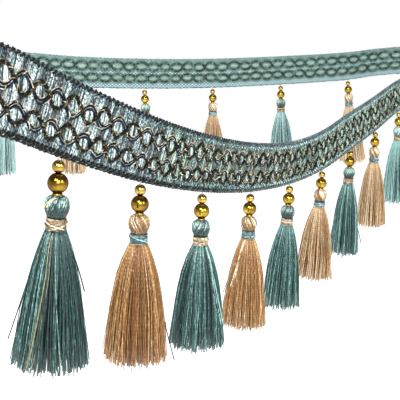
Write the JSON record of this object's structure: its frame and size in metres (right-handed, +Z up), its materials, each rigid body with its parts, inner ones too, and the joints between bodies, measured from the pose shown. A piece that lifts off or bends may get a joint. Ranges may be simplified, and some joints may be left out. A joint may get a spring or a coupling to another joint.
{
  "type": "tassel fringe trim",
  "caption": "Woven gimp braid in teal and mint, led round in a loop, with cut-yarn tassels in teal and champagne hung from gilt beads along its lower edge.",
  "frame": {"origin": "near free end of the braid's top edge, at mid-thickness", "axes": "+Z up, +Y along the loop from the free ends towards the turn, +X towards the right of the picture"},
  "size_m": [0.5535, 0.8899, 0.2129],
  "materials": {
    "braid": "woven and gimped yarn, satin",
    "gilt": "bright gold metallised",
    "teal_yarn": "silky rayon yarn",
    "champagne_yarn": "silky rayon yarn",
    "champagne_thread": "silky wound thread",
    "blue_thread": "silky wound thread"
  },
  "bodies": {
    "root": {"braid": "braid", "beads_01": "gilt", "tassel_01": "teal_yarn", "binding_01": "champagne_thread", "beads_02": "gilt", "tassel_02": "champagne_yarn", "binding_02": "blue_thread", "beads_03": "gilt", "tassel_03": "teal_yarn", "binding_03": "champagne_thread", "beads_04": "gilt", "tassel_04": "champagne_yarn", "binding_04": "blue_thread", "beads_05": "gilt", "tassel_05": "teal_yarn", "binding_05": "champagne_thread", "beads_06": "gilt", "tassel_06": "champagne_yarn", "binding_06": "blue_thread", "beads_07": "gilt", "tassel_07": "teal_yarn", "binding_07": "champagne_thread", "beads_08": "gilt", "tassel_08": "champagne_yarn", "binding_08": "blue_thread", "beads_09": "gilt", "tassel_09": "teal_yarn", "binding_09": "champagne_thread", "beads_10": "gilt", "tassel_10": "champagne_yarn", "binding_10": "blue_thread", "beads_11": "gilt", "tassel_11": "teal_yarn", "binding_11": "champagne_thread", "beads_12": "gilt", "tassel_12": "champagne_yarn", "binding_12": "blue_thread", "beads_13": "gilt", "tassel_13": "teal_yarn", "binding_13": "champagne_thread", "beads_14": "gilt", "tassel_14": "champagne_yarn", "binding_14": "blue_thread", "beads_15": "gilt", "tassel_15": "teal_yarn", "binding_15": "champagne_thread", "beads_16": "gilt", "tassel_16": "champagne_yarn", "binding_16": "blue_thread", "beads_17": "gilt", "tassel_17": "teal_yarn", "binding_17": "champagne_thread"}
  },
  "joints": []
}
